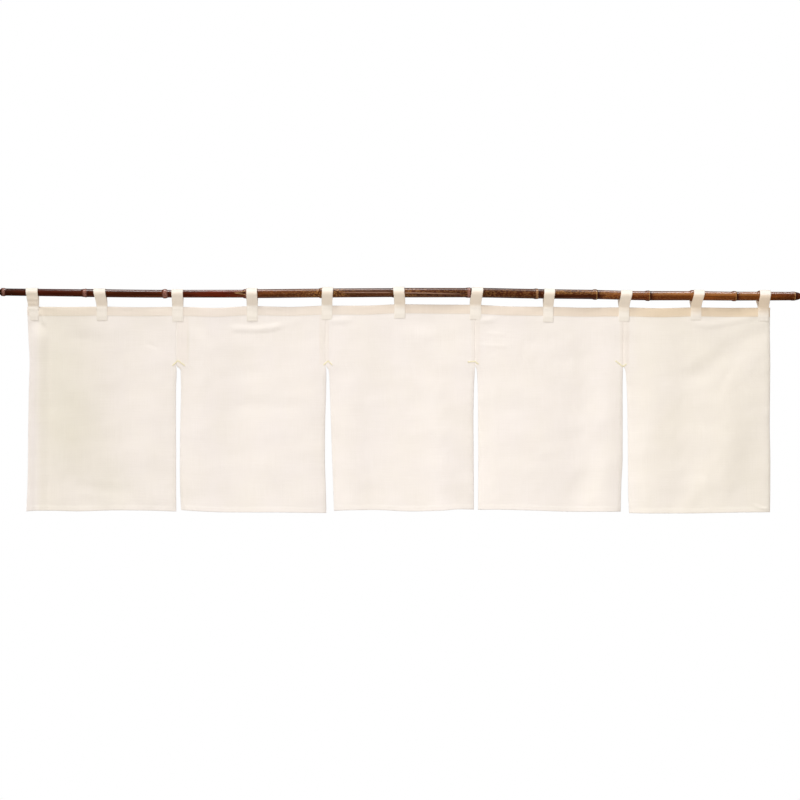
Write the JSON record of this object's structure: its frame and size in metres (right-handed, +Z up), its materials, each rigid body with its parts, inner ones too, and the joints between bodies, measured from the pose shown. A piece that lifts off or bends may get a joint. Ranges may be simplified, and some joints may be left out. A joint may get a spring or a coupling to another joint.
{
  "type": "noren curtain with bamboo pole",
  "caption": "Split cotton door curtain: joined cloth widths, open below the seams, hung by sewn tab loops from a thin smoked bamboo pole.",
  "frame": {"origin": "on the pole's axis at the middle of its length, where the curtain is held up", "axes": "+X along the pole to the right of the cloth's front, +Y to the back, +Z up; the front faces -Y"},
  "size_m": [1.832, 0.0304, 0.5185],
  "materials": {
    "cotton": "plain weave, undyed, matte",
    "tab_cotton": "plain weave folded strip, undyed, matte",
    "bamboo": "smoked, mottled, lacquered gloss"
  },
  "bodies": {
    "root": {"pole": "bamboo", "panel_1": "cotton", "panel_2": "cotton", "panel_3": "cotton", "panel_4": "cotton", "panel_5": "cotton", "tab_01": "tab_cotton", "tab_02": "tab_cotton", "tab_03": "tab_cotton", "tab_04": "tab_cotton", "tab_05": "tab_cotton", "tab_06": "tab_cotton", "tab_07": "tab_cotton", "tab_08": "tab_cotton", "tab_09": "tab_cotton", "tab_10": "tab_cotton", "tab_11": "tab_cotton"}
  },
  "joints": []
}
